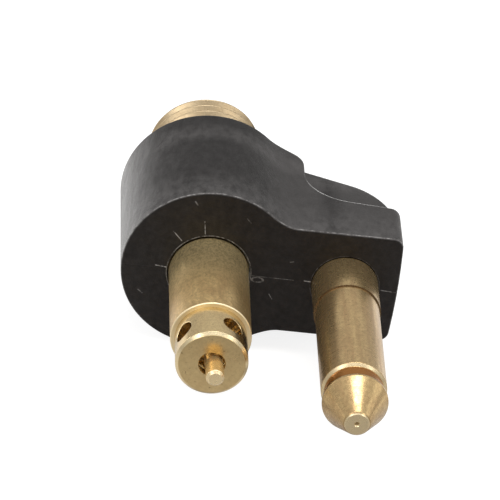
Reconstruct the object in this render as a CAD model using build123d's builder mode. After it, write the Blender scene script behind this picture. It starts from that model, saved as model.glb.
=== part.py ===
from build123d import *
import os
from math import cos, radians, sin

# Twin-prong fuel line connector, male half, in millimetres.
# The origin is where the fuel tube's axis leaves the housing's front face. Both prongs point along -Y,
# the pipe thread points along +Y, +X runs from the fuel prong to the guide pin, and +Z is up.

# Housing: a round barrel round the fuel tube, with a flat arm that carries the guide pin.
barrel_r = 9.9
barrel_lift = 0.3           # the barrel's centre stands this far above the fuel axis
barrel_depth = 18.2
neck_r = 4.0                # concave rounds where the barrel runs into the arm
arm_half_height = 6.7
arm_end_x = 21.45           # at the middle of the arm's slightly convex end
arm_end_bulge = 0.25
arm_corner_r = 1.1
arm_depth = 7.0             # front to back at the arm's end, where the arm has its full height
arm_root_depth = 8.2        # the arm's slanted back would meet the block here
block_end_x = 10.5          # the full depth of the barrel carries on to here
block_corner_r = 3.0
inner_corner_r = 4.8        # between the block's end and the arm's back
web_half_height = 5.0       # lower web that stiffens the corner behind the arm
web_end_x = 20.8
web_root_x = 8.5            # the web's slanted back ends here, inside the block
web_root_y = 17.5
web_shoulder_y = 12.65      # where its two straight sides would cross
web_shoulder_r = 7.5
front_edge_r = 0.35
back_edge_r = 0.3
web_edge_r = 0.4
prong_gap = 0.16            # ring-shaped gap round the fuel prong at the front face
guide_gap = 0.05            # the same round the guide pin
recess_depth = 0.6
undercut = 0.18             # the metal is turned down by this much inside the recess

# Fuel tube: prong, gripped hexagon inside the barrel, 1/4-18 taper pipe thread behind it.
prong_r = 4.48
prong_front_y = -13.94
prong_chamfer = 0.1
tube_seat_r = 4.6           # in the housing, in front of the hexagon
hexagon_flats = 12.7
hexagon_front_y = 5.5
hexagon_back_y = 13.0
grip_groove_r = 5.4
shoulder_r = 7.0            # flush with the housing's back face
shoulder_front_y = 14.6
thread_pitch = 25.4 / 18
thread_height = 0.8 * thread_pitch
thread_flat = 0.038 * thread_pitch
thread_taper = 1 / 32       # radius per length, for 1 in 16 on the diameter
last_crest_y = 28.4
last_crest_r = 6.6
crest_count = 7
tube_end_y = 29.3
tube_end_r = 5.75
valve_bore_r = 3.5
spring_shoulder_y = 1.0
passage_r = 1.9
rear_bore_r = 3.4
rear_bore_front_y = 14.0
drill_point_depth = 0.9     # cone between the passage and the rear bore
rear_chamfer = 0.4

# Valve nose: pressed into the prong's end, with the seat and the fuel holes.
nose_r = 3.98
nose_front_y = -19.32
nose_chamfer = 0.35
front_hole_r = 1.45
front_relief_r = 1.65       # the hole's inner half is a little wider
front_relief_y = -18.7
chamber_front_y = -17.9
chamber_r = 2.7
seat_land_front_y = -14.6
seat_land_r = 2.0
seat_y = -13.8              # where the 45 degree seat starts
seat_outer_r = 2.9
spigot_end_y = -11.0
spigot_chamfer = 0.2
port_r = 1.25
port_y = -16.5
port_first_angle = 31.0     # from +Z towards +X
port_count = 4

# Valve: a thin pin with a poppet and its seal. It hangs loose in the nose and leans to one side.
valve_lean = 2.0            # degrees, tip towards +X
pin_r = 1.0
pin_tip_y = -22.3
pin_chamfer = 0.3
seal_section_r = 0.65
seal_groove_r = 1.1
seal_clearance = 0.1        # from the seat, at rest
lip_r = 1.4
lip_thickness = 0.5
poppet_r = 2.65
poppet_thickness = 1.1
boss_r = 1.7
boss_length = 1.1

# Valve spring: round wire, between the poppet and the tube's shoulder.
wire_r = 0.25
spring_mean_r = 2.3
spring_turns = 8
spring_gap = 0.12           # each end stands this far off its neighbour

# Guide pin: solid, with a collar, a latch groove and a cone tip.
guide_x = 15.43
collar_r = 3.755
collar_front_y = -5.95
guide_r = 3.6
groove_r = 3.25
groove_back_y = -21.76
groove_front_y = -24.0
cone_back_y = -24.35
cone_front_y = -28.3
cone_tip_r = 1.49
guide_tip_y = -28.54
dimple_r = 0.33
dimple_depth = 0.35
shank_lock_front_y = 2.2
shank_lock_back_y = 3.6
shank_lock_r = 3.0
knurl_r = 3.8
knurl_sides = 24
shank_end_y = 10.5


def crest_r_at(y):
    """Radius over the thread's crests at a place along the tube."""
    return last_crest_r + (last_crest_y - y) * thread_taper


def thread_outline():
    """Half section of the thread, from the shoulder to the tube's end, as (radius, y) points."""
    points = []
    for crest in reversed(range(crest_count)):
        crest_y = last_crest_y - crest * thread_pitch
        root_y = crest_y - thread_pitch / 2
        root_r = crest_r_at(root_y) - thread_height
        points += [
            (root_r, root_y - thread_flat / 2),
            (root_r, root_y + thread_flat / 2),
            (crest_r_at(crest_y), crest_y - thread_flat / 2),
            (crest_r_at(crest_y), crest_y + thread_flat / 2),
        ]
    return points


os.makedirs("parts", exist_ok=True)
fuel_axis = Axis.Y
guide_axis = Axis((guide_x, 0, 0), (0, 1, 0))
guide_plane = Plane(origin=(guide_x, 0, 0), x_dir=(1, 0, 0), z_dir=(0, 0, 1))

# ---------------------------------------------------------------- fuel tube
run_out_y = last_crest_y - crest_count * thread_pitch
with BuildPart() as fuel_tube:
    with BuildSketch(Plane.XY):
        with BuildLine():
            Polyline(
                (valve_bore_r, prong_front_y),
                (prong_r - prong_chamfer, prong_front_y),
                (prong_r, prong_front_y + prong_chamfer),
                (prong_r, 0),
                (prong_r - undercut, 0),
                (prong_r - undercut, recess_depth),
                (tube_seat_r, recess_depth),
                (tube_seat_r, hexagon_front_y),
                (grip_groove_r, hexagon_front_y),
                (grip_groove_r, shoulder_front_y),
                (shoulder_r, shoulder_front_y),
                (shoulder_r, barrel_depth),
                (crest_r_at(run_out_y), barrel_depth),
                (crest_r_at(run_out_y), run_out_y),
                *thread_outline(),
                (tube_end_r, tube_end_y),
                (rear_bore_r + rear_chamfer, tube_end_y),
                (rear_bore_r, tube_end_y - rear_chamfer),
                (rear_bore_r, rear_bore_front_y + drill_point_depth),
                (passage_r, rear_bore_front_y),
                (passage_r, spring_shoulder_y),
                (valve_bore_r, spring_shoulder_y),
                close=True,
            )
        make_face()
    revolve(axis=fuel_axis)
    with BuildSketch(Plane.XZ.offset(-hexagon_back_y)):
        RegularPolygon(radius=hexagon_flats / 2, side_count=6, major_radius=False)
        Circle(grip_groove_r - 0.5, mode=Mode.SUBTRACT)
    extrude(amount=hexagon_back_y - hexagon_front_y)
fuel_tube.part.label = "fuel_tube"

# ---------------------------------------------------------------- valve nose
with BuildPart() as valve_nose:
    with BuildSketch(Plane.XY):
        with BuildLine():
            Polyline(
                (front_hole_r, nose_front_y),
                (nose_r - nose_chamfer, nose_front_y),
                (nose_r, nose_front_y + nose_chamfer),
                (nose_r, prong_front_y),
                (valve_bore_r, prong_front_y),
                (valve_bore_r, spigot_end_y - spigot_chamfer),
                (valve_bore_r - spigot_chamfer, spigot_end_y),
                (seat_outer_r, spigot_end_y),
                (seat_outer_r, seat_y + seat_outer_r - seat_land_r),
                (seat_land_r, seat_y),
                (seat_land_r, seat_land_front_y),
                (chamber_r, seat_land_front_y),
                (chamber_r, chamber_front_y),
                (front_relief_r, chamber_front_y),
                (front_relief_r, front_relief_y),
                (front_hole_r, front_relief_y),
                close=True,
            )
        make_face()
    revolve(axis=fuel_axis)
    for hole in range(port_count):
        angle = radians(port_first_angle + hole * 360 / port_count)
        with BuildSketch(Plane(origin=(0, port_y, 0), x_dir=(0, 1, 0), z_dir=(sin(angle), 0, cos(angle)))):
            Circle(port_r)
        extrude(amount=nose_r + 1, mode=Mode.SUBTRACT)
valve_nose.part.label = "valve_nose"

# ---------------------------------------------------------------- valve: pin, poppet, seal
# They share one leaning plane, whose origin is the middle of the seal and whose Y is the pin's axis.
seal_mean_r = seal_groove_r + seal_section_r
seal_y = seat_y + seal_mean_r - seat_land_r + (seal_section_r + seal_clearance) * 2**0.5
lean = radians(valve_lean)
valve_plane = Plane(origin=(0, seal_y, 0), x_dir=(cos(lean), sin(lean), 0), z_dir=(0, 0, 1))
valve_axis = Axis((0, seal_y, 0), (-sin(lean), cos(lean), 0))
tip = pin_tip_y - seal_y
poppet_back = seal_section_r + poppet_thickness
boss_back = poppet_back + boss_length

with BuildPart() as valve_pin:
    with BuildSketch(valve_plane):
        with BuildLine():
            Polyline(
                (0, tip),
                (pin_r - pin_chamfer, tip),
                (pin_r, tip + pin_chamfer),
                (pin_r, boss_back),
                (0, boss_back),
                close=True,
            )
        make_face()
    revolve(axis=valve_axis)
valve_pin.part.label = "valve_pin"

with BuildPart() as poppet:
    with BuildSketch(valve_plane):
        with BuildLine():
            Polyline(
                (pin_r, -seal_section_r - lip_thickness),
                (lip_r, -seal_section_r - lip_thickness),
                (lip_r, -seal_section_r),
                (seal_groove_r, -seal_section_r),
                (seal_groove_r, seal_section_r),
                (poppet_r, seal_section_r),
                (poppet_r, poppet_back),
                (boss_r, poppet_back),
                (boss_r, boss_back),
                (pin_r, boss_back),
                close=True,
            )
        make_face()
    revolve(axis=valve_axis)
poppet.part.label = "poppet"

with BuildPart() as poppet_seal:
    with BuildSketch(valve_plane):
        with Locations((seal_mean_r, 0)):
            Circle(seal_section_r)
    revolve(axis=valve_axis)
poppet_seal.part.label = "poppet_seal"

# ---------------------------------------------------------------- valve spring
spring_front_y = seal_y + poppet_back + spring_gap + wire_r
spring_back_y = spring_shoulder_y - spring_gap - wire_r
spring_length = spring_back_y - spring_front_y
with BuildPart() as valve_spring:
    with BuildLine() as spring_path:
        Helix(
            pitch=spring_length / spring_turns,
            height=spring_length,
            radius=spring_mean_r,
            center=(0, spring_front_y, 0),
            direction=(0, 1, 0),
        )
    with BuildSketch(Plane(origin=spring_path.line @ 0, z_dir=spring_path.line % 0)):
        Circle(wire_r)
    sweep(is_frenet=True)
valve_spring.part.label = "valve_spring"

# ---------------------------------------------------------------- guide pin
with BuildPart() as guide_pin:
    with BuildSketch(guide_plane):
        with BuildLine():
            Polyline(
                (0, guide_tip_y + dimple_depth),
                (dimple_r, guide_tip_y),
                (cone_tip_r - (cone_front_y - guide_tip_y), guide_tip_y),
                (cone_tip_r, cone_front_y),
                (guide_r, cone_back_y),
                (guide_r, groove_front_y),
                (groove_r, groove_front_y),
                (groove_r, groove_back_y - (guide_r - groove_r)),
                (guide_r, groove_back_y),
                (guide_r, collar_front_y),
                (collar_r, collar_front_y),
                (collar_r, 0),
                (collar_r - undercut, 0),
                (collar_r - undercut, recess_depth),
                (collar_r, recess_depth),
                (collar_r, shank_lock_front_y),
                (shank_lock_r, shank_lock_front_y),
                (shank_lock_r, shank_end_y),
                (0, shank_end_y),
                close=True,
            )
        make_face()
    revolve(axis=guide_axis)
    with BuildSketch(Plane.XZ.offset(-shank_end_y)):
        with Locations((guide_x, 0)):
            RegularPolygon(radius=knurl_r, side_count=knurl_sides)
    extrude(amount=shank_end_y - shank_lock_back_y)
guide_pin.part.label = "guide_pin"

# ---------------------------------------------------------------- housing
end_x = arm_end_x - arm_end_bulge
side = barrel_r + 1
with BuildPart() as housing:
    # Front outline: the barrel's circle, the arm, and the concave necks between them.
    with BuildSketch(Plane.XZ) as outline:
        with BuildLine():
            Line((0, arm_half_height), (end_x, arm_half_height))
            ThreePointArc((end_x, arm_half_height), (arm_end_x, 0), (end_x, -arm_half_height))
            Line((end_x, -arm_half_height), (0, -arm_half_height))
            Line((0, -arm_half_height), (0, arm_half_height))
        make_face()
        with Locations((0, barrel_lift)):
            Circle(barrel_r)
        fillet(outline.vertices().filter_by_position(Axis.X, end_x - 0.1, end_x + 0.1), arm_corner_r)
        fillet(outline.vertices().filter_by_position(Axis.X, 5, barrel_r), neck_r)
    extrude(amount=-barrel_depth)
    # Plan: the barrel and its block keep the full depth, and the arm is shallower.
    with BuildSketch(Plane.XY.offset(-side)) as plan:
        with BuildLine():
            Polyline(
                (-side, 0),
                (arm_end_x, 0),
                (arm_end_x, arm_depth),
                (block_end_x, arm_root_depth),
                (block_end_x, barrel_depth),
                (-side, barrel_depth),
                close=True,
            )
        make_face()
        fillet(plan.vertices().sort_by_distance((block_end_x, arm_root_depth, -side))[0], inner_corner_r)
        fillet(plan.vertices().sort_by_distance((block_end_x, barrel_depth, -side))[0], block_corner_r)
    extrude(amount=2 * side, mode=Mode.INTERSECT)
    # Web: the lower step that fills the corner behind the arm.
    with BuildSketch(Plane.XY.offset(-web_half_height)) as web_plan:
        with BuildLine():
            Polyline(
                (web_root_x, 1),
                (web_end_x, 1),
                (web_end_x, web_shoulder_y),
                (web_root_x, web_root_y),
                close=True,
            )
        make_face()
        shoulder = (web_end_x, web_shoulder_y, -web_half_height)
        fillet(web_plan.vertices().sort_by_distance(shoulder)[0], web_shoulder_r)
    extrude(amount=2 * web_half_height)
    # Edge rounds: the front face's rim, the one closed line round the whole back, and the web's two rims.
    fillet(housing.edges().group_by(Axis.Y)[0], front_edge_r)
    rims = housing.edges().filter_by(Axis.Z, reverse=True)
    rims = rims.filter_by_position(Axis.Y, arm_depth - 0.01, side * 2)
    back_rim = rims.group_by(Axis.Y)[-1] + rims.filter_by_position(Axis.X, web_end_x + 0.05, arm_end_x)
    for level in (-arm_half_height, arm_half_height):
        at_level = rims.filter_by_position(Axis.Z, level - 0.01, level + 0.01)
        back_rim += at_level.filter_by_position(Axis.X, barrel_r - 0.5, web_end_x)
    fillet(back_rim, back_edge_r)
    rims = housing.edges().filter_by_position(Axis.X, block_end_x + 2, web_end_x)
    rims = rims.filter_by_position(Axis.Y, arm_root_depth + 0.05, barrel_depth)
    web_rims = rims.filter_by_position(Axis.Z, web_half_height - 0.01, web_half_height + 0.01)
    web_rims += rims.filter_by_position(Axis.Z, -web_half_height - 0.01, -web_half_height + 0.01)
    fillet(web_rims, web_edge_r)
    # The plastic is moulded round both metal parts, with a ring-shaped gap at the front face.
    with BuildSketch(Plane.XZ):
        Circle(prong_r + prong_gap)
        with Locations((guide_x, 0)):
            Circle(collar_r + guide_gap)
    extrude(amount=-recess_depth, mode=Mode.SUBTRACT)
    with BuildSketch(Plane.XZ):
        Circle(valve_bore_r)
    extrude(amount=-barrel_depth, mode=Mode.SUBTRACT)
    add(fuel_tube.part, mode=Mode.SUBTRACT)
    add(guide_pin.part, mode=Mode.SUBTRACT)
housing.part.label = "housing"

for piece in (housing, fuel_tube, valve_nose, valve_pin, poppet, poppet_seal, valve_spring, guide_pin):
    export_step(piece.part, f"parts/{piece.part.label}.step")
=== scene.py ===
import math

import bpy
import numpy as np
from mathutils import Matrix, Vector


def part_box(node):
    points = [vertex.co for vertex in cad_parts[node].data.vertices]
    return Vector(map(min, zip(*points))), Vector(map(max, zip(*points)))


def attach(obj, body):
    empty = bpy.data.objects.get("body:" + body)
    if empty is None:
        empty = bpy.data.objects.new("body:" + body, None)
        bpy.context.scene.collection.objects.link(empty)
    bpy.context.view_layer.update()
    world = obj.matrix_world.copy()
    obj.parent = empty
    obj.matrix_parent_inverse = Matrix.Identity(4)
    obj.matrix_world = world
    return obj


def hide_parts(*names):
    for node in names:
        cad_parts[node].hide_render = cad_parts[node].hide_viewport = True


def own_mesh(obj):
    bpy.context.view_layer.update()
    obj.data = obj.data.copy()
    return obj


# Looks of a fuel line connector: a black moulded housing round a threaded brass fuel tube and guide pin.
# Shapes are worked out in millimetres in the row frame, and written to the meshes in metres.
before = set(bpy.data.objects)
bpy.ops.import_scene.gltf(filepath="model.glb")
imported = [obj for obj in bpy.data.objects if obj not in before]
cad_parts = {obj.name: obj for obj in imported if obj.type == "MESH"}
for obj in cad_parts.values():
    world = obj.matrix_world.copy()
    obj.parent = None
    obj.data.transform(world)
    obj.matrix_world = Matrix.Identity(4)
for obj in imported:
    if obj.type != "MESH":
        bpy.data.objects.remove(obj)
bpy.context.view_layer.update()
MM = 0.001
BODY = "connector_body"
VALVE = "valve"


def box_mm(node):
    """A CAD node's lowest and highest corner, in millimetres."""
    low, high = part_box(node)
    return np.array(low) / MM, np.array(high) / MM


# ---------------------------------------------------------------- driving sizes
housing_low, housing_high = box_mm("housing")
tube_low, tube_high = box_mm("fuel_tube")
nose_low, nose_high = box_mm("valve_nose")
guide_low, guide_high = box_mm("guide_pin")
spring_low, spring_high = box_mm("valve_spring")

barrel_r = -housing_low[0]
barrel_lift = (housing_high[2] + housing_low[2]) / 2
barrel_depth = housing_high[1]
arm_end = housing_high[0]
arm_half_height = 6.7
arm_depth = 7.0
block_end = 10.5
arm_slope = math.atan2(1.2, 10.95)
block_round = 3.0
inner_round = 4.8
web_half_height = 5.0
web_end = 20.8
web_shoulder = 12.65
web_root = 8.5
web_slope = math.atan2(12.3, 4.85)
web_shoulder_round = 4.65
web_round = 0.4
front_round = 0.2
back_round = 0.3
mould_line_depth = 0.02
mould_line_width = 0.06
web_blend = 0.35            # concave round where the web meets the rest
bore_rim_round = 0.08
prong_gap = 0.16
guide_gap = 0.05
recess_depth = 0.6
undercut = 0.18             # the metal is turned down by this much inside the recess
fit_gap = 0.02              # between surfaces that would otherwise coincide

# Fuel tube, from the prong's open end to the threaded end.
prong_r = 4.48
seat_r = 4.6
hexagon_half = 6.35         # half of its width across flats
hexagon_front = 5.5
hexagon_back = 13.0
waist_r = 5.4
shoulder_r = 7.0
shoulder_front = 14.6
valve_bore_r = 3.5
spring_shoulder = 1.0
passage_r = 1.9
passage_back = 14.0
rear_bore_r = 3.4
rear_bore_front = 14.9
rear_chamfer = 0.4
tube_end_r = 5.75

# Valve nose, from front to back.
nose_r = 3.98
nose_chamfer = 0.35
front_hole_r = 1.45
relief_r = 1.65
relief_front, relief_back = -18.7, -17.5
chamber_r = 2.7
chamber_front, chamber_back = -17.9, -14.6
land_r = 2.0
seat_y = -13.8              # the 45 degree seat opens backwards from here
seat_outer_r = 2.9
rear_front = -12.95
port_r = 1.25
port_y = -16.5
port_first_angle = 31
port_count = 4

# Guide pin, from tip to shank.
guide_x = (guide_low[0] + guide_high[0]) / 2
cone_tip_r = 1.49
cone_front_length = 0.24
cone_back = -24.35
groove_r = 3.25
groove_front, groove_back = -24.0, -21.76
guide_r = 3.6
collar_r = 3.755
collar_front = -5.95
lock_r = 3.0
lock_front, lock_back = 2.2, 3.6
knurl_r = 3.78
shank_end = 10.5

# Valve: heights of its pieces are from the seal's middle.
pin_r = 1.0
pin_tip = -22.3
seal_mean_r = 1.75
seal_section_r = 0.65
seal_clearance = 0.1
lip_r = 1.4
groove_floor_r = 1.1
poppet_r = 2.65
poppet_back = 1.75
boss_r = 1.7
boss_back = 2.85
lean = math.radians(2.0)

thread_pitch = 25.4 / 18
thread_depth = 0.8 * thread_pitch
thread_taper = 1 / 32
last_crest_y = 28.4
last_crest_r = 6.6
# One pitch of the thread from crest to crest: (share of the pitch, share of the depth).
thread_form = (
    (0.0, 0.0), (0.02, 0.0), (0.05, 0.04), (0.45, 0.95), (0.48, 1.0),
    (0.52, 1.0), (0.55, 0.95), (0.95, 0.04), (0.98, 0.0),
)


# ---------------------------------------------------------------- mesh helpers
def signed_volume(points, faces):
    """Volume inside a closed mesh of quads and triangles: negative when its faces look inwards."""
    total = 0.0
    for corners in (3, 4):
        chosen = np.array([f for f in faces if len(f) == corners])
        for k in range(1, corners - 1):
            if len(chosen):
                a, b, c = (points[chosen[:, i]] for i in (0, k, k + 1))
                total += np.einsum("ij,ij->i", a, np.cross(b, c)).sum() / 6
    return total


def add_piece(name, points, faces, body, nodes, material, normals=None):
    """A smooth piece from points in millimetres. It rides on body and stands for the named CAD nodes."""
    points = np.asarray(points, float)
    if signed_volume(points, faces) < 0:
        faces = [tuple(reversed(f)) for f in faces]
    mesh = bpy.data.meshes.new(name)
    mesh.from_pydata((points * MM).tolist(), [], faces)
    mesh.polygons.foreach_set("use_smooth", [True] * len(mesh.polygons))
    if normals is not None:
        mesh.normals_split_custom_set_from_vertices(normals.tolist())
    mesh.materials.append(material)
    piece = bpy.data.objects.new(name, mesh)
    bpy.context.scene.collection.objects.link(piece)
    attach(piece, body)
    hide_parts(*nodes)
    return piece


def eased(corners, closed):
    """Profile points for (radius, y, round) corners: each corner becomes a small arc, with a support point
    just beyond it on every straight run, so that smooth shading stays inside the arc."""
    count, support, points = len(corners), 0.03, []
    for i, (r, y, ease) in enumerate(corners):
        at = np.array([r, y])
        if not closed and i in (0, count - 1):
            points.append(at)
            continue
        before = np.array(corners[i - 1][:2]) - at
        after = np.array(corners[(i + 1) % count][:2]) - at
        run_before, run_after = np.linalg.norm(before), np.linalg.norm(after)
        before, after = before / run_before, after / run_after
        half = math.acos(max(-1.0, min(1.0, float(before @ after)))) / 2
        reach = min(ease / math.tan(half), 0.45 * run_before, 0.45 * run_after)
        radius = reach * math.tan(half)
        middle = at + (before + after) / np.linalg.norm(before + after) * radius / math.sin(half)
        start, end = at + before * reach, at + after * reach
        if run_before > 4 * (reach + support):
            points.append(start + before * support)
        steps = 3 if half > math.radians(60) else 5
        for k in range(steps + 1):
            mixed = (start - middle) * (1 - k / steps) + (end - middle) * k / steps
            points.append(middle + mixed / np.linalg.norm(mixed) * radius)
        if run_after > 4 * (reach + support):
            points.append(end + after * support)
    return points


def ring_mesh(rows, closed, helix=None):
    """Points and faces from rows of rings. A row is (radii, heights), one value for each angle, about the Y
    axis. A row whose radii are all zero becomes a single point. Rows that climb along a right-handed
    thread are given as helix, (first row, last row, rows for each turn): a full turn of one row ends where
    the row one turn further on begins."""
    count = len(rows[0][0])
    angles = np.arange(count) * 2 * math.pi / count
    points, starts, single = [], [], []
    for radii, heights in rows:
        starts.append(len(points))
        single.append(bool(np.all(radii < 1e-9)))
        if single[-1]:
            points.append((0.0, heights[0], 0.0))
        else:
            points.extend(zip(radii * np.sin(angles), heights, radii * np.cos(angles)))

    def pair(row, k):
        if single[row]:
            return starts[row], starts[row]
        if k < count - 1:
            return starts[row] + k, starts[row] + k + 1
        onward = row
        if helix and helix[0] <= row <= helix[1]:
            onward = min(row + helix[2], helix[1])
        return starts[row] + k, starts[onward]

    faces = []
    for a, b in [(i, i + 1) for i in range(len(rows) - 1)] + ([(len(rows) - 1, 0)] if closed else []):
        for k in range(count):
            near, far = pair(a, k), pair(b, k)
            faces.append(tuple(dict.fromkeys((near[0], near[1], far[1], far[0]))))
    return np.array(points), faces


def welded(points, faces):
    """The same surface with coinciding points made one, and without the faces that this leaves empty."""
    kept, number = np.unique(np.round(points, 5), axis=0, return_inverse=True)
    number = number.ravel()
    faces = [tuple(dict.fromkeys(number[list(f)].tolist())) for f in faces]
    return kept, [f for f in faces if len(f) > 2]


def lathe(corners, closed=False, count=144, place=None):
    """A turned mesh about the Y axis from (radius, y, round) corners, moved by the matrix place."""
    rows = [(np.full(count, r), np.full(count, y)) for r, y in eased(corners, closed)]
    points, faces = ring_mesh(rows, closed)
    if place is not None:
        points = points @ np.array(place.to_3x3()).T + np.array(place.translation)
    return points, faces


# ---------------------------------------------------------------- solids as distance fields
def cut_round(a, b, radius):
    """Both a and b, with a convex round of that radius where they meet. Fields are negative inside."""
    corner = np.hypot(np.maximum(a + radius, 0), np.maximum(b + radius, 0))
    return np.minimum(np.maximum(a, b), -radius) + corner


def join_round(a, b, radius):
    """Either a or b, with a concave round of that radius where they meet."""
    corner = np.hypot(np.maximum(radius - a, 0), np.maximum(radius - b, 0))
    return np.maximum(np.minimum(a, b), radius) - corner


def stretch(low, high, y):
    """Distance along Y outside the span from low to high."""
    return np.maximum(low - y, y - high)


def steps_to(*marks):
    """Grid planes: marks are (place, spacing) in order, and the spacing holds from one place to the next."""
    planes = []
    for (start, spacing), (end, _) in zip(marks, marks[1:]):
        count = max(1, round((end - start) / spacing))
        planes.extend(np.linspace(start, end, count, endpoint=False))
    planes.append(marks[-1][0])
    return np.array(planes)


def surface_net(field, grids, to_xyz=None, wraps=False):
    """Points, faces and normals of the surface where field(u, v, w) is zero on a grid of planes.
    to_xyz turns grid coordinates into millimetres, and wraps says that the first one is a full turn."""
    u, v, w = grids
    if wraps:
        u = np.append(u, u[0] + 2 * math.pi)
    at = np.meshgrid(u, v, w, indexing="ij")
    values = field(*at)
    inside = values < 0
    corners = [(i, j, k) for i in (0, 1) for j in (0, 1) for k in (0, 1)]
    shape = tuple(n - 1 for n in values.shape)

    def corner(array, offset):
        return array[tuple(slice(o, o + n) for o, n in zip(offset, shape))]

    filled = sum(corner(inside, c).astype(np.int8) for c in corners)
    cells = np.argwhere((filled > 0) & (filled < 8))
    number = -np.ones(shape, np.int64)
    number[tuple(cells.T)] = np.arange(len(cells))
    total, hits = np.zeros((len(cells), 3)), np.zeros(len(cells))
    for a in corners:
        for axis in range(3):
            if a[axis]:
                continue
            b = tuple(1 if i == axis else a[i] for i in range(3))
            ia, ib = cells + a, cells + b
            va, vb = values[tuple(ia.T)], values[tuple(ib.T)]
            crosses = (va < 0) != (vb < 0)
            share = np.where(crosses, va / np.where(crosses, va - vb, 1), 0)[:, None]
            pa = np.stack([g[i] for g, i in zip((u, v, w), ia.T)], 1)
            pb = np.stack([g[i] for g, i in zip((u, v, w), ib.T)], 1)
            total += np.where(crosses[:, None], pa + (pb - pa) * share, 0)
            hits += crosses
    grid_points = total / hits[:, None]
    faces = []
    for axis in range(3):
        one, two = [i for i in range(3) if i != axis]
        along = [slice(None)] * 3
        along[axis] = slice(0, -1)
        beyond = [slice(None)] * 3
        beyond[axis] = slice(1, None)
        low, high = inside[tuple(along)], inside[tuple(beyond)]
        edges = np.argwhere(low != high)
        keep = (edges[:, one] > 0) & (edges[:, two] > 0)
        keep &= (edges[:, one] < shape[one]) & (edges[:, two] < shape[two])
        if wraps and axis != 0:
            keep |= (edges[:, 0] == 0) & (edges[:, two if one == 0 else one] > 0)
        edges = edges[keep]
        ring = []
        for d1, d2 in ((0, 0), (-1, 0), (-1, -1), (0, -1)):
            cell = edges.copy()
            cell[:, one] += d1
            cell[:, two] += d2
            if wraps:
                cell[:, 0] %= shape[0]
            ring.append(number[tuple(cell.T)])
        quads = np.stack(ring, 1)
        flip = low[tuple(edges.T)] == (axis != 1)
        quads[flip] = quads[flip][:, ::-1]
        faces.append(quads)
    faces = np.concatenate(faces)
    points = to_xyz(grid_points) if to_xyz else grid_points
    return points, [tuple(f) for f in faces[(faces >= 0).all(1)].tolist()]


def settle(points, solid, rounds=3):
    """Moves points onto the surface of solid(x, y, z) and returns them with the surface's normals."""
    step = 0.002
    for turn in range(rounds + 1):
        slope = np.stack(
            [solid(*(points + step * d).T) - solid(*(points - step * d).T) for d in np.eye(3)], 1
        ) / (2 * step)
        length = np.linalg.norm(slope, axis=1, keepdims=True)
        if turn < rounds:
            move = np.clip(solid(*points.T)[:, None] / np.maximum(length, 0.3), -0.1, 0.1)
            points = points - move * slope / length
    return points, slope / length


# ---------------------------------------------------------------- housing
def housing_solid(x, y, z):
    """Distance field of the moulded housing: barrel, arm, block and web, less the seats of the brass parts.
    A fine groove at z 0 is the line where the two halves of its mould met."""
    neck_round, end_r, end_round = 1.3, 90.0, 1.1
    barrel = np.hypot(x, z - barrel_lift) - barrel_r
    end = np.hypot(x - (arm_end - end_r), z) - end_r
    arm = np.maximum(cut_round(np.abs(z) - arm_half_height, end, end_round), -x)
    outline = join_round(barrel, arm, neck_round)
    block = cut_round(x - block_end, y - barrel_depth, block_round)
    arm_back = (y - arm_depth) * math.cos(arm_slope) + (x - arm_end) * math.sin(arm_slope)
    plan = join_round(block, arm_back, inner_round)
    body = cut_round(outline, plan, back_round)
    slant = (x - web_end) * math.cos(web_slope) + (y - web_shoulder) * math.sin(web_slope)
    web = cut_round(x - web_end, slant, web_shoulder_round)
    web = cut_round(web, np.abs(z) - web_half_height, web_round)
    body = join_round(body, np.maximum(web, web_root - x), web_blend)
    body = cut_round(body, -y, front_round)
    body = body + mould_line_depth * np.exp(-((z / mould_line_width) ** 2))
    radius, guide_radius = np.hypot(x, z), np.hypot(x - guide_x, z)
    hollow = np.minimum(
        np.maximum(radius - prong_r - prong_gap, y - recess_depth),
        np.maximum(guide_radius - collar_r - guide_gap, y - recess_depth),
    )
    hollow = np.minimum(hollow, radius - seat_r)
    hollow = np.minimum(hollow, np.maximum(radius - shoulder_r, hexagon_front - y))
    hollow = np.minimum(hollow, np.maximum(guide_radius - collar_r, y - shank_end))
    return cut_round(body, -hollow, bore_rim_round)


def build_housing(material):
    """The moulding. Its grid is finer at the rims and at the mould line."""
    grids = (
        steps_to((-10.2, 0.2), (21.8, 0.2)),
        steps_to((-0.2, 0.08), (0.9, 0.4), (6.3, 0.12), (8.6, 0.3), (17.4, 0.12), (18.5, 0.1)),
        steps_to((-10.0, 0.2), (-6.9, 0.1), (-6.3, 0.2), (-5.2, 0.1), (-4.6, 0.2), (-0.2, 0.05), (0.2, 0.2),
                 (4.6, 0.1), (5.2, 0.2), (6.3, 0.1), (6.9, 0.2), (10.6, 0.2)),
    )
    points, faces = surface_net(housing_solid, grids)
    points, normals = settle(points, housing_solid)
    return add_piece(
        "housing_moulding", points, faces, BODY, ["housing"], material, normals
    )


# ---------------------------------------------------------------- fuel tube
def thread_rows(start_y, end_y, end_r, count):
    """Rows of a right-handed taper thread. They climb along the thread, and are held between start_y and
    end_y, where the thread is cut square; its crests run out into the end's chamfer."""
    shares, depths = np.array(thread_form + ((1.0, 0.0),)).T
    turn = np.arange(count) / count
    first = math.floor((start_y - last_crest_y) / thread_pitch) - 2
    last = math.ceil((end_y - last_crest_y) / thread_pitch)
    rows = []
    for lap in range(first, last + 1):
        for share in shares[:-1]:
            y = np.clip(last_crest_y + (lap + share + turn) * thread_pitch, start_y, end_y)
            phase = ((y - last_crest_y) / thread_pitch - turn) % 1.0
            crest = last_crest_r + (last_crest_y - y) * thread_taper
            radius = crest - thread_depth * np.interp(phase, shares, depths)
            rows.append((np.minimum(radius, end_r + (end_y - y) * 1.1), y))
    return rows


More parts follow.
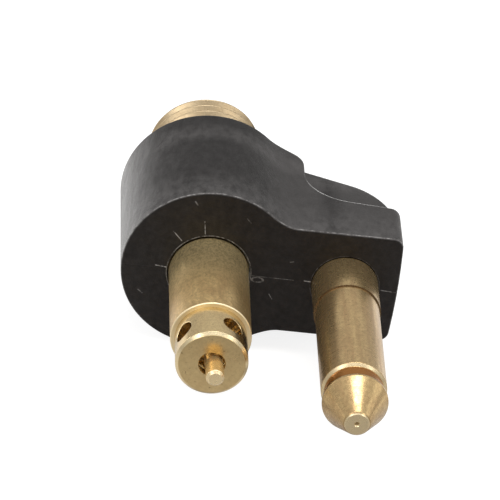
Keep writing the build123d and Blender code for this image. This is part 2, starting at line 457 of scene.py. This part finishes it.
def build_tube(material, thread_material):
    """The fuel tube as one closed profile: outside from front to back, then its bore from back to front."""
    count = 144
    end_y, front = tube_high[1], tube_low[1]

    def level(r, y):
        return np.full(count, float(r)), np.full(count, float(y))

    corners = [
        (valve_bore_r, spring_shoulder, 0), (valve_bore_r, front, 0.05),
        (prong_r - 0.1, front, 0.03), (prong_r, front + 0.1, 0.04),
        (prong_r, 0, 0.03), (prong_r - undercut, 0, 0.03), (prong_r - undercut, recess_depth, 0.02),
        (seat_r - fit_gap, recess_depth, 0.02), (seat_r - fit_gap, hexagon_front - 0.1, 0),
    ]
    rows = [level(r, y) for r, y in eased(corners, False)]
    angle = np.arange(count) * 2 * math.pi / count
    hexagon = hexagon_half / np.cos((angle + math.pi / 6) % (math.pi / 3) - math.pi / 6)
    rows += [
        level(seat_r - fit_gap, hexagon_front - 0.02),
        (hexagon, np.full(count, hexagon_front)), (hexagon, np.full(count, hexagon_back)),
        level(waist_r, hexagon_back + 0.02), level(waist_r, shoulder_front),
        level(shoulder_r, shoulder_front + 0.02), level(shoulder_r, barrel_depth - fit_gap),
    ]
    thread = thread_rows(barrel_depth, end_y, tube_end_r, count)
    helix = (len(rows), len(rows) + len(thread) - 1, len(thread_form))
    rows += thread
    corners = [
        (tube_end_r, end_y, 0), (rear_bore_r + rear_chamfer, end_y, 0.06),
        (rear_bore_r, end_y - rear_chamfer, 0.06), (rear_bore_r, rear_bore_front, 0.05),
        (passage_r, passage_back, 0.1), (passage_r, spring_shoulder, 0.1),
        (valve_bore_r, spring_shoulder, 0),
    ]
    rows += [level(r, y) for r, y in eased(corners, False)[1:-1]]
    points, faces = welded(*ring_mesh(rows, True, helix))
    tube = add_piece("fuel_tube_threaded", points, faces, BODY, ["fuel_tube"], material)
    tube.data.materials.append(thread_material)
    for face in tube.data.polygons:
        face.material_index = int(face.center.y > (barrel_depth - 0.1) * MM)
    return tube


# ---------------------------------------------------------------- valve nose
def nose_solid(x, y, z):
    """Distance field of the nose: a stepped sleeve with a front hole and four cross holes."""
    radius = np.hypot(x, z)
    front, back = nose_low[1], nose_high[1]
    wall = cut_round(radius - nose_r, stretch(front, back, y), 0.05)
    wall = np.maximum(wall, (radius - nose_r + (front - y) + nose_chamfer) / math.sqrt(2))
    spigot = np.maximum(radius - valve_bore_r, tube_low[1] - y)
    wall = np.where(y > tube_low[1], np.maximum(wall, spigot), wall)
    hole = np.maximum(radius - front_hole_r, y - relief_back)
    hole = np.minimum(hole, np.maximum(radius - relief_r, stretch(relief_front, relief_back, y)))
    chamber = cut_round(radius - chamber_r, stretch(chamber_front, chamber_back, y), 0.2)
    land = np.maximum(radius - land_r, stretch(-14.8, -13.5, y))
    seat = np.maximum((radius - land_r - (y - seat_y)) / math.sqrt(2), stretch(-14.0, -12.85, y))
    rear = np.maximum(radius - seat_outer_r, rear_front - y)
    hollow = np.minimum.reduce([hole, chamber, land, seat, rear])
    for turn in range(port_count):
        angle = math.radians(port_first_angle + 360 / port_count * turn)
        across = x * math.cos(angle) - z * math.sin(angle)
        outward = x * math.sin(angle) + z * math.cos(angle)
        drill = np.maximum(np.hypot(across, y - port_y) - port_r, -outward)
        hollow = np.minimum(hollow, drill)
    return cut_round(wall, -hollow, 0.06)


def build_nose(material):
    """The nose, on a grid that runs round the axis."""
    count = 216

    def in_round(turn, y, radius):
        return nose_solid(radius * np.sin(turn), y, radius * np.cos(turn))

    def to_xyz(p):
        return np.stack([p[:, 2] * np.sin(p[:, 0]), p[:, 1], p[:, 2] * np.cos(p[:, 0])], 1)

    front, back = nose_low[1], nose_high[1]
    grids = (
        np.arange(count) * 2 * math.pi / count,
        steps_to((front - 0.1, 0.05), (front + 0.5, 0.11), (tube_low[1] - 0.1, 0.06),
                 (tube_low[1] + 0.1, 0.14), (back - 0.1, 0.05), (back + 0.1, 0.05)),
        steps_to((1.35, 0.05), (1.8, 0.15), (3.4, 0.07), (4.1, 0.07)),
    )
    points, faces = surface_net(in_round, grids, to_xyz, wraps=True)
    points, normals = settle(points, nose_solid, 2)
    return add_piece("valve_nose_drilled", points, faces, BODY, ["valve_nose"], material, normals)


# ---------------------------------------------------------------- guide pin
def build_guide(material):
    """The guide pin: dimple, cone tip, latch groove, collar, locking neck and shank."""
    tip, back = guide_low[1], guide_high[1]
    corners = [
        (0, tip + 0.35, 0), (0.33, tip, 0.05), (1.25, tip, 0.05), (cone_tip_r, tip + cone_front_length, 0.06),
        (guide_r, cone_back, 0.07), (guide_r, groove_front, 0.05), (groove_r, groove_front, 0.06),
        (groove_r, groove_back - 0.35, 0.06), (guide_r, groove_back, 0.05),
        (guide_r, collar_front, 0.015), (collar_r, collar_front, 0.02), (collar_r, 0, 0.02),
        (collar_r - undercut, 0, 0.02), (collar_r - undercut, recess_depth, 0.02),
        (collar_r, recess_depth, 0.02), (collar_r, lock_front, 0.05), (lock_r, lock_front, 0.05),
        (lock_r, lock_back, 0.05), (knurl_r, lock_back, 0.05), (knurl_r, back, 0.15), (0, back, 0),
    ]
    points, faces = lathe(corners, place=Matrix.Translation((guide_x, 0, 0)))
    return add_piece("guide_pin_turned", points, faces, BODY, ["guide_pin"], material)


# ---------------------------------------------------------------- valve
seal_y = seat_y + seal_mean_r - land_r + (seal_section_r + seal_clearance) * math.sqrt(2)
valve_place = Matrix.Translation((0, seal_y, 0)) @ Matrix.Rotation(lean, 4, "Z")


def build_valve(brass, rubber):
    """Pin, poppet and seal, which lean together."""
    tip = pin_tip - seal_y
    pin = [
        (0, tip, 0), (pin_r - 0.3, tip, 0.06), (pin_r, tip + 0.3, 0.06), (pin_r, boss_back, 0.05),
        (0, boss_back, 0),
    ]
    points, faces = lathe(pin, count=72, place=valve_place)
    add_piece("valve_pin_turned", points, faces, VALVE, ["valve_pin"], brass)
    half = seal_section_r
    poppet = [
        (pin_r, -half - 0.5, 0.05), (lip_r, -half - 0.5, 0.1), (lip_r, -half, 0.05),
        (groove_floor_r, -half, 0.05), (groove_floor_r, half, 0.05),
        (poppet_r, half, 0.1), (poppet_r, poppet_back, 0.1),
        (boss_r, poppet_back, 0.05), (boss_r, boss_back, 0.1), (pin_r, boss_back, 0.05),
    ]
    points, faces = lathe(poppet, closed=True, count=96, place=valve_place)
    add_piece("poppet_turned", points, faces, VALVE, ["poppet"], brass)
    count, around = 96, 32
    rows = []
    for k in range(around):
        turn = 2 * math.pi * k / around
        radius, height = seal_mean_r + half * math.cos(turn), half * math.sin(turn)
        rows.append((np.full(count, radius), np.full(count, height)))
    points, faces = ring_mesh(rows, True)
    points = points @ np.array(valve_place.to_3x3()).T + np.array(valve_place.translation)
    add_piece("poppet_seal_ring", points, faces, VALVE, ["poppet_seal"], rubber)


def build_spring(material):
    """A coil spring with one closed turn at each end, whose wire follows a helix of changing pitch."""
    wire_r, mean_r, turns, around = 0.25, 2.3, 8.0, 14
    start, end = spring_low[1] + wire_r, spring_high[1] - wire_r
    t = np.linspace(0, turns, int(turns * 40) + 1)
    closed_pitch = 2.1 * wire_r
    open_pitch = (end - start - 2 * closed_pitch) / (turns - 2)
    last_open = closed_pitch + open_pitch * (turns - 2)
    y = start + np.interp(t, (0, 1, turns - 1, turns), (0, closed_pitch, last_open, end - start))
    middle = np.stack([mean_r * np.sin(2 * math.pi * t), y, mean_r * np.cos(2 * math.pi * t)], 1)
    along = np.gradient(middle, axis=0)
    along /= np.linalg.norm(along, axis=1, keepdims=True)
    outward = np.stack([np.sin(2 * math.pi * t), 0 * t, np.cos(2 * math.pi * t)], 1)
    side = np.cross(along, outward)
    turn = np.arange(around) * 2 * math.pi / around
    rings = middle[:, None] + wire_r * (
        outward[:, None] * np.cos(turn)[None, :, None] + side[:, None] * np.sin(turn)[None, :, None]
    )
    points = np.concatenate([rings.reshape(-1, 3), middle[:1], middle[-1:]])
    faces, last = [], (len(t) - 1) * around
    for i in range(len(t) - 1):
        for k in range(around):
            n = (k + 1) % around
            faces.append((i * around + k, i * around + n, (i + 1) * around + n, (i + 1) * around + k))
    for k in range(around):
        n = (k + 1) % around
        faces.append((len(points) - 2, n, k))
        faces.append((len(points) - 1, last + k, last + n))
    spring = add_piece("valve_spring_coil", points, faces, BODY, ["valve_spring"], material)
    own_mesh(spring)
    return spring


# ---------------------------------------------------------------- materials
class Shader:
    """A material with one Principled shader, and short calls that add nodes to it."""

    def __init__(self, name):
        self.material = bpy.data.materials.new(name)
        self.material.use_nodes = True
        self.tree = self.material.node_tree
        self.surface = self.tree.nodes["Principled BSDF"]
        coordinates = self.node("ShaderNodeTexCoord")
        self.place, self.facing = coordinates.outputs["Object"], coordinates.outputs["Normal"]

    def node(self, kind, inputs=(), **settings):
        made = self.tree.nodes.new(kind)
        for key, value in settings.items():
            setattr(made, key, value)
        for key, value in dict(inputs).items():
            self.put(made.inputs[key], value)
        return made

    def put(self, socket, value):
        if isinstance(value, bpy.types.NodeSocket):
            self.tree.links.new(value, socket)
        else:
            socket.default_value = value

    def set(self, **inputs):
        for key, value in inputs.items():
            self.put(self.surface.inputs[key.replace("_", " ")], value)

    def math(self, operation, a, b=0.0, clamp=False):
        return self.node("ShaderNodeMath", {0: a, 1: b}, operation=operation, use_clamp=clamp).outputs[0]

    def times(self, a, b, c=1.0):
        return self.math("MULTIPLY", self.math("MULTIPLY", a, b), c)

    def split(self, vector):
        return self.node("ShaderNodeSeparateXYZ", {0: vector}).outputs

    def less(self, vector, taken):
        return self.node("ShaderNodeVectorMath", {0: vector, 1: taken}, operation="SUBTRACT").outputs[0]

    def length(self, vector):
        return self.node("ShaderNodeVectorMath", {0: vector}, operation="LENGTH").outputs["Value"]

    def reach(self, x, z):
        """Distance in millimetres from a line along Y."""
        return self.length(self.less(self.scaled((1, 0, 1)), (x, 0.0, z)))

    def band(self, value, centre, half, soft):
        """1 where value is within half of centre, fading to 0 over soft."""
        off = self.math("ABSOLUTE", self.math("SUBTRACT", value, centre))
        return self.ramp(off, half, half + soft, 1.0, 0.0)

    def oval(self, x, z, centre, radii):
        """1 on an ellipse in the XZ plane, less inside it."""
        parts = [
            self.math("DIVIDE", self.math("SUBTRACT", v, c), r) for v, c, r in zip((x, z), centre, radii)
        ]
        squares = [self.math("MULTIPLY", part, part) for part in parts]
        return self.math("SQRT", self.math("ADD", *squares))

    def stroke(self, x, z, start, end, half):
        """1 on a straight stroke in the XZ plane, fading to 0 over its own half width."""
        run = [e - c for c, e in zip(start, end)]
        span = math.hypot(*run)
        off = [self.math("SUBTRACT", v, c) for v, c in zip((x, z), start)]
        parts = [self.math("MULTIPLY", o, r / span) for o, r in zip(off, run)]
        along = self.math("ADD", *parts)
        held = self.math("MINIMUM", self.math("MAXIMUM", along, 0.0), span)
        gaps = [self.math("SUBTRACT", o, self.math("MULTIPLY", held, r / span)) for o, r in zip(off, run)]
        squares = [self.math("MULTIPLY", gap, gap) for gap in gaps]
        return self.ramp(self.math("SQRT", self.math("ADD", *squares)), half, 2 * half, 1.0, 0.0)

    def scaled(self, factors):
        """Object coordinates in millimetres, times one factor for each axis."""
        factors = tuple(f / MM for f in factors)
        return self.node("ShaderNodeVectorMath", {0: self.place, 1: factors}, operation="MULTIPLY").outputs[0]

    def noise(self, factors, detail=3.0, roughness=0.55, distortion=0.0):
        inputs = {"Vector": self.scaled(factors), "Scale": 1.0, "Detail": detail, "Roughness": roughness,
                  "Distortion": distortion}
        return self.node("ShaderNodeTexNoise", inputs).outputs["Fac"]

    def ramp(self, value, low, high, to_low=0.0, to_high=1.0):
        """value from low to high becomes to_low to to_high, held at both ends."""
        inputs = {"Value": value, "From Min": low, "From Max": high, "To Min": to_low, "To Max": to_high}
        return self.node("ShaderNodeMapRange", inputs, clamp=True).outputs["Result"]

    def mix(self, share, a, b):
        made = self.node("ShaderNodeMix", {"Factor": share}, data_type="RGBA")
        for socket, value in ((made.inputs[6], a), (made.inputs[7], b)):
            self.put(socket, value if isinstance(value, bpy.types.NodeSocket) else (*value, 1.0))
        return made.outputs[2]

    def bump(self, height, strength, distance_mm, normal=None):
        inputs = {"Height": height, "Strength": strength, "Distance": distance_mm * MM}
        if normal is not None:
            inputs["Normal"] = normal
        return self.node("ShaderNodeBump", inputs).outputs["Normal"]


def plastic_material():
    """Black moulding: grained and slightly wavy, with fine dust and scratches on its front, and with painted
    highlights and sheen along its rims, on the top of the barrel, at the neck and on the left flank.
    """
    s = Shader("moulded_plastic")
    x, y, z = s.split(s.scaled((1, 1, 1)))
    nx, ny, nz = s.split(s.facing)
    grain = s.noise((6.5, 6.5, 6.5), detail=5, roughness=0.65)
    waves = s.noise((0.5, 0.2, 0.5), detail=2)
    patches = s.noise((1.1, 0.7, 1.1), detail=4, roughness=0.6)
    dust = s.ramp(s.noise((4.6, 4.6, 4.6), detail=5, roughness=0.8), 0.6, 0.72)
    painted_edge_highlights = s.ramp(s.noise((1.7, 1.7, 1.7), detail=4, roughness=0.7), 0.4, 0.62)
    front = s.ramp(ny, -0.98, -0.9, 1.0, 0.0)

    # Painted highlight: a soft bright crest across the upward-facing top of the barrel, towards its back.
    colour = s.mix(s.ramp(waves, 0.3, 0.7), (0.0045, 0.0041, 0.0039), (0.0085, 0.0079, 0.0076))
    crest = s.band(y, 14.2, 0.6, 1.6)
    painted_crest_highlight_share = s.times(crest, s.times(s.ramp(patches, 0.25, 0.6), s.ramp(nz, 0.5, 0.85)), 0.35)
    colour = s.mix(painted_crest_highlight_share, colour, (0.075, 0.071, 0.07))
    side = s.math("SUBTRACT", 1.0, front)
    # Painted sheen: off the front face, the first 6 mm of the housing are lightened in patches.
    painted_front_sheen = s.times(s.ramp(y, 0.3, 6.0, 1.0, 0.0), s.ramp(patches, 0.25, 0.6), 0.85)
    colour = s.mix(s.math("MULTIPLY", painted_front_sheen, side), colour, (0.06, 0.057, 0.056))
    # Painted highlight: the upward-facing top is lightened at the neck and over the web on the right.
    right = s.math("MAXIMUM", s.band(x, 9.6, 1.6, 2.6), s.ramp(x, 13.0, 15.0))
    neck = s.times(right, s.ramp(nz, 0.2, 0.8), 0.5)
    colour = s.mix(s.math("MULTIPLY", neck, side), colour, (0.06, 0.057, 0.056))
    # Painted sheen: the left flank is lightened in grainy patches. The same mask also adds real sheen further
    # down.
    flank_sheen = s.ramp(nx, -0.65, -0.95)
    colour = s.mix(s.times(flank_sheen, s.ramp(grain, 0.42, 0.6), 0.5), colour, (0.10, 0.098, 0.097))
    colour = s.mix(s.math("MULTIPLY", dust, s.ramp(ny, -0.98, -0.9, 0.12, 0.4)), colour, (0.2, 0.195, 0.19))

    # Painted highlights, broken up in patches: round the front face, along the back edges, and where the
    # brass leaves the front face. A brighter painted highlight line runs along the inner corner behind the
    # arm.
    front_rim_highlight = s.band(y, 0.13, 0.03, 0.06)
    back_rim_highlight = s.ramp(s.math("MULTIPLY", ny, s.math("ABSOLUTE", nz)), 0.12, 0.3)
    prong_rim_highlight = s.times(front, s.band(s.reach(0.0, 0.0), prong_r + prong_gap + 0.08, 0.03, 0.07))
    guide_rim_highlight = s.times(front, s.band(s.reach(guide_x, 0.0), collar_r + guide_gap + 0.06, 0.02, 0.06))
    inner_rim_highlight = s.times(back_rim_highlight, s.band(x, 14.0, 4.0, 3.0), s.ramp(s.math("ABSOLUTE", z), 5.5, 6.1))
    for mask, share in ((front_rim_highlight, 0.5), (back_rim_highlight, 0.35), (prong_rim_highlight, 0.8), (guide_rim_highlight, 0.5)):
        colour = s.mix(s.times(mask, painted_edge_highlights, share), colour, (0.42, 0.41, 0.40))
    colour = s.mix(s.math("MULTIPLY", inner_rim_highlight, 0.95), colour, (0.7, 0.69, 0.68))

    # Scratches and scuffs on the front face, in millimetres: (from x, from z, to x, to z, half width, share).
    marks = (
        (-4.55, 4.85, -3.5, 3.75, 0.030, 0.7), (-1.25, 6.5, -1.0, 4.9, 0.028, 0.6),
        (-6.0, 0.28, -4.75, 0.15, 0.035, 0.8), (4.8, 0.15, 9.6, 0.12, 0.018, 0.4),
        (10.8, 0.17, 11.6, 0.12, 0.035, 0.8), (19.5, -0.05, 21.2, -0.15, 0.025, 0.5),
        (7.1, -2.0, 7.5, -2.6, 0.030, 0.4), (-2.6, 8.9, -2.3, 8.5, 0.050, 0.3),
        (3.4, 7.4, 3.9, 6.9, 0.025, 0.3), (-7.6, -3.1, -7.1, -3.5, 0.040, 0.25),
        (8.9, 2.4, 9.3, 2.5, 0.030, 0.25),
    )
    ragged = s.ramp(s.noise((3.0, 3.0, 3.0), detail=3), 0.35, 0.55)
    for from_x, from_z, to_x, to_z, half, share in marks:
        line = s.stroke(x, z, (from_x, from_z), (to_x, to_z), half)
        colour = s.mix(s.times(s.times(front, line), ragged, share), colour, (0.45, 0.44, 0.43))
    ring = s.band(s.oval(x, z, (5.55, -0.3), (0.62, 0.3)), 1.0, 0.08, 0.22)
    colour = s.mix(s.times(s.times(front, ring), ragged, 0.5), colour, (0.3, 0.29, 0.28))

    rough = s.math("ADD", s.ramp(grain, 0.3, 0.7, 0.40, 0.54), s.math("MULTIPLY", dust, 0.15))
    normal = s.bump(waves, 0.4, 0.5)
    normal = s.bump(grain, 1.0, 0.045, normal)
    sheen = s.ramp(patches, 0.3, 0.7, 0.26, 0.42)
    sheen = s.math("ADD", sheen, s.times(crest, s.ramp(nz, 0.4, 0.9), 0.12))
    bloom = s.math("ADD", 0.02, s.math("MULTIPLY", flank_sheen, 0.5))
    s.set(Base_Color=colour, Roughness=rough, Specular_IOR_Level=sheen, Specular_Tint=(1.0, 0.92, 0.9, 1.0),
          Sheen_Weight=bloom, Sheen_Roughness=0.35, Normal=normal)
    return s.material


def brass_material(name, clean, stain, tarnish, rough, metal, painted_base_light=0.0, streaked=0.0, painted_edge_highlights=(),
                   grooved=False):
    """Turned brass: fine rings round the Y axis, blotchy brown tarnish and small dark specks.
    painted_base_light is how much painted light lightens it towards the housing, and it also switches on
    painted shade inside the housing's recess. streaked is how far the tarnish runs along Y. worn has (y, half
    width, share) for painted highlight bands on chamfers and edges. Where it is grooved, the guide pin's
    latch groove is stained rust-brown, and painted shade darkens the step at its collar, the groove's front
    edge and the dimple in its tip."""
    s = Shader(name)
    y = s.split(s.scaled((1, 1, 1)))[1]
    rings = s.noise((0.1, 6, 0.1), detail=4, roughness=0.6)
    blotch = s.noise((0.5, 0.3, 0.5), detail=5, roughness=0.65, distortion=0.6)
    mottle = s.noise((3.2, 2.2, 3.2), detail=5, roughness=0.75)
    speck = s.ramp(s.noise((3.6, 3.6, 3.6), detail=3, roughness=0.6), 0.64, 0.71)
    streaks = s.noise((1.3, 0.06, 1.3), detail=3, roughness=0.6)
    blotch = s.math("ADD", s.math("MULTIPLY", blotch, 1.0 - streaked), s.math("MULTIPLY", streaks, streaked))
    share = s.math("MULTIPLY", s.ramp(blotch, 0.38, 0.64), tarnish)
    colour = s.mix(share, clean, stain)
    # Painted highlight: the brass is lightened towards the housing.
    colour = s.mix(s.ramp(y, -9.0, -1.0, 0.0, painted_base_light), colour, (1.0, 0.8, 0.42))
    colour = s.mix(s.times(s.ramp(rings, 0.35, 0.7), 0.3), colour, tuple(c * 0.7 for c in clean))
    mottled = s.times(s.ramp(mottle, 0.44, 0.57), 0.65 * tarnish)
    colour = s.mix(mottled, colour, tuple(c * 0.45 for c in clean))
    colour = s.mix(s.times(speck, 0.7), colour, (0.11, 0.065, 0.03))
    # Painted shade: the brass is darkened where it runs into the housing's recess.
    if painted_base_light:
        colour = s.mix(s.ramp(y, -0.1, 0.0, 0.0, 0.9), colour, (0.03, 0.018, 0.008))
    # Painted highlights: bright bands on chamfers and edges at the given heights.
    for place, half, share_bright in painted_edge_highlights:
        bright = s.math("MULTIPLY", s.band(y, place, half, 0.03), share_bright)
        colour = s.mix(bright, colour, (0.98, 0.84, 0.56))
    if grooved:
        groove = s.times(s.band(y, -23.05, 0.92, 0.04), s.ramp(s.reach(guide_x, 0.0), 3.3, 3.45, 1.0, 0.0))
        colour = s.mix(s.times(groove, 0.95), colour, (0.36, 0.14, 0.025))
        # Painted shade: dark lines in the step at the collar and at the groove's front edge, and a dark
        # dimple in the middle of the tip.
        dimple = s.times(s.ramp(y, -28.5, -28.0), s.ramp(s.reach(guide_x, 0.0), 0.26, 0.34, 1.0, 0.0))
        painted_step_shade = s.math("MAXIMUM", s.band(y, -5.93, 0.05, 0.03), s.band(y, -24.02, 0.05, 0.03))
        colour = s.mix(s.math("MULTIPLY", s.math("MAXIMUM", painted_step_shade, dimple), 0.8), colour, (0.06, 0.03, 0.015))
    base_rough = s.ramp(rings, 0.3, 0.7, rough - 0.04, rough + 0.05)
    rough_all = s.math("ADD", base_rough, s.math("MULTIPLY", share, 0.15))
    s.set(Base_Color=colour, Metallic=metal, Roughness=rough_all)
    normal = s.bump(rings, 0.3, 0.01)
    normal = s.bump(mottle, 0.25 * tarnish, 0.02, normal)
    tangent = s.node("ShaderNodeTangent", direction_type="RADIAL", axis="Y").outputs["Tangent"]
    s.set(Normal=normal, Anisotropic=0.3, Tangent=tangent, Specular_IOR_Level=0.3)
    return s.material


def rubber_material():
    s = Shader("seal_rubber")
    grain = s.noise((9, 9, 9), detail=3)
    s.set(Base_Color=s.mix(grain, (0.012, 0.012, 0.012), (0.03, 0.03, 0.03)),
          Roughness=s.ramp(grain, 0.3, 0.7, 0.6, 0.75), Normal=s.bump(grain, 0.3, 0.01))
    return s.material


def steel_material():
    s = Shader("spring_steel")
    drawn = s.noise((1.5, 12, 1.5), detail=3)
    s.set(Base_Color=s.mix(drawn, (0.45, 0.45, 0.44), (0.62, 0.61, 0.6)), Metallic=1.0,
          Roughness=s.ramp(drawn, 0.3, 0.7, 0.22, 0.36), Normal=s.bump(drawn, 0.2, 0.01))
    return s.material


# ---------------------------------------------------------------- stage: floor, lights, camera
def build_floor():
    """White paper to the camera, clear from below. What it throws back on the object is darker in front of
    it than behind it."""
    mesh = bpy.data.meshes.new("floor")
    half, z = 4.0, (housing_low[2] - 0.02) * MM
    corners = [(-half, -half, z), (half, -half, z), (half, half, z), (-half, half, z)]
    mesh.from_pydata(corners, [], [(0, 1, 2, 3)])
    floor = bpy.data.objects.new("floor", mesh)
    bpy.context.scene.collection.objects.link(floor)
    s = Shader("floor_paper")
    seen = s.node("ShaderNodeLightPath").outputs["Is Camera Ray"]
    y = s.split(s.scaled((1, 1, 1)))[1]
    thrown = s.mix(s.ramp(y, -40.0, 10.0), (0.31, 0.30, 0.285), (0.85, 0.84, 0.83))
    paper = s.mix(s.noise((0.05, 0.05, 0.05)), (0.28, 0.28, 0.28), (0.3, 0.3, 0.3))
    s.set(Base_Color=s.mix(seen, thrown, paper), Roughness=0.9, Specular_IOR_Level=0.0,
          Emission_Color=(1.0, 1.0, 1.0, 1.0), Emission_Strength=s.math("MULTIPLY", seen, 0.85),
          Alpha=s.math("SUBTRACT", 1.0, s.node("ShaderNodeNewGeometry").outputs["Backfacing"]))
    mesh.materials.append(s.material)


def softbox(name, place, aim, size, power, colour=(1.0, 1.0, 1.0)):
    """A rectangular light at place, facing aim. Places are in metres."""
    data = bpy.data.lights.new(name, "AREA")
    data.shape, (data.size, data.size_y) = "RECTANGLE", size
    data.energy, data.color = power, colour
    light = bpy.data.objects.new(name, data)
    light.location = place
    light.rotation_euler = (Vector(aim) - Vector(place)).to_track_quat("-Z", "Y").to_euler()
    light.visible_camera = False
    bpy.context.scene.collection.objects.link(light)
    return light


def build_lights():
    """A soft sky that is brightest overhead, a softbox above the object, two in front of it and
    one at each side."""
    middle = (0.004, 0.0, 0.0)
    softbox("overhead_softbox", (0.0, -0.12, 0.8), middle, (0.44, 0.45), 3.3)
    softbox("front_left_softbox", (-0.5, -0.65, 0.5), middle, (0.4, 0.4), 1.8)
    softbox("front_right_softbox", (0.55, -0.6, 0.5), middle, (0.4, 0.4), 1.1)
    softbox("left_softbox", (-0.8, 0.5, 0.2), middle, (0.35, 0.5), 2.5)
    softbox("right_softbox", (0.8, 0.1, 0.35), middle, (0.3, 0.4), 0.25)
    world = bpy.data.worlds.new("studio")
    world.use_nodes = True
    tree = world.node_tree
    background = tree.nodes["Background"]
    direction = tree.nodes.new("ShaderNodeTexCoord").outputs["Generated"]
    height = tree.nodes.new("ShaderNodeSeparateXYZ")
    tree.links.new(direction, height.inputs[0])
    sky = tree.nodes.new("ShaderNodeMapRange")
    for name, value in (("From Min", 0.1), ("From Max", 1.0), ("To Min", 0.5), ("To Max", 0.85)):
        sky.inputs[name].default_value = value
    tree.links.new(height.outputs["Z"], sky.inputs["Value"])
    seen = tree.nodes.new("ShaderNodeLightPath").outputs["Is Camera Ray"]
    brightest = tree.nodes.new("ShaderNodeMath")
    brightest.operation = "MAXIMUM"
    tree.links.new(sky.outputs["Result"], brightest.inputs[0])
    tree.links.new(seen, brightest.inputs[1])
    tree.links.new(brightest.outputs[0], background.inputs["Strength"])
    background.inputs["Color"].default_value = (1.0, 0.995, 0.985, 1.0)
    bpy.context.scene.world = world


def build_camera():
    """From the front, 30 degrees above the horizon, with the camera rolled 9 degrees."""
    azimuth, elevation, roll = math.radians(-6.03), math.radians(30.09), math.radians(8.88)
    distance, target = 469.3 * MM, Vector((4.22, 0.0, 3.45)) * MM
    back = Vector((math.sin(azimuth) * math.cos(elevation), -math.cos(azimuth) * math.cos(elevation),
                   math.sin(elevation)))
    level = Vector((math.cos(azimuth), math.sin(azimuth), 0.0))
    upright = back.cross(level)
    right = level * math.cos(roll) + upright * math.sin(roll)
    up = upright * math.cos(roll) - level * math.sin(roll)
    data = bpy.data.cameras.new("camera")
    data.sensor_width, data.lens = 36.0, 302.4
    data.clip_start, data.clip_end = 0.01, 20.0
    camera = bpy.data.objects.new("camera", data)
    turned = Matrix((right, up, back)).transposed().to_4x4()
    camera.matrix_world = Matrix.Translation(target + back * distance) @ turned
    bpy.context.scene.collection.objects.link(camera)
    bpy.context.scene.camera = camera


brass = brass_material("satin_brass", (0.75, 0.53, 0.24), (0.32, 0.185, 0.085), 0.75, 0.3, 0.85, 1.0, 0.3,
                       painted_edge_highlights=((-13.89, 0.06, 0.8),))
nose_brass = brass_material("nose_brass", (0.80, 0.61, 0.315), (0.52, 0.34, 0.16), 0.3, 0.2, 1.0,
                            painted_edge_highlights=((-19.12, 0.14, 0.6),))
guide_brass = brass_material("guide_brass", (0.68, 0.485, 0.235), (0.36, 0.20, 0.10), 0.6, 0.23, 0.88, 0.2,
                             0.75, painted_edge_highlights=((-21.93, 0.12, 0.5), (-28.5, 0.06, 0.6)), grooved=True)
thread_brass = brass_material("thread_brass", (0.50, 0.39, 0.245), (0.42, 0.29, 0.15), 0.35, 0.32, 0.9)
pin_brass = brass_material("pin_brass", (0.88, 0.62, 0.28), (0.6, 0.38, 0.14), 0.3, 0.24, 0.75,
                           painted_edge_highlights=((-22.2, 0.2, 0.6),))
build_housing(plastic_material())
build_tube(brass, thread_brass)
build_nose(nose_brass)
build_guide(guide_brass)
build_valve(pin_brass, rubber_material())
build_spring(steel_material())
build_floor()
build_lights()
build_camera()
bpy.context.scene.view_settings.view_transform = "Standard"
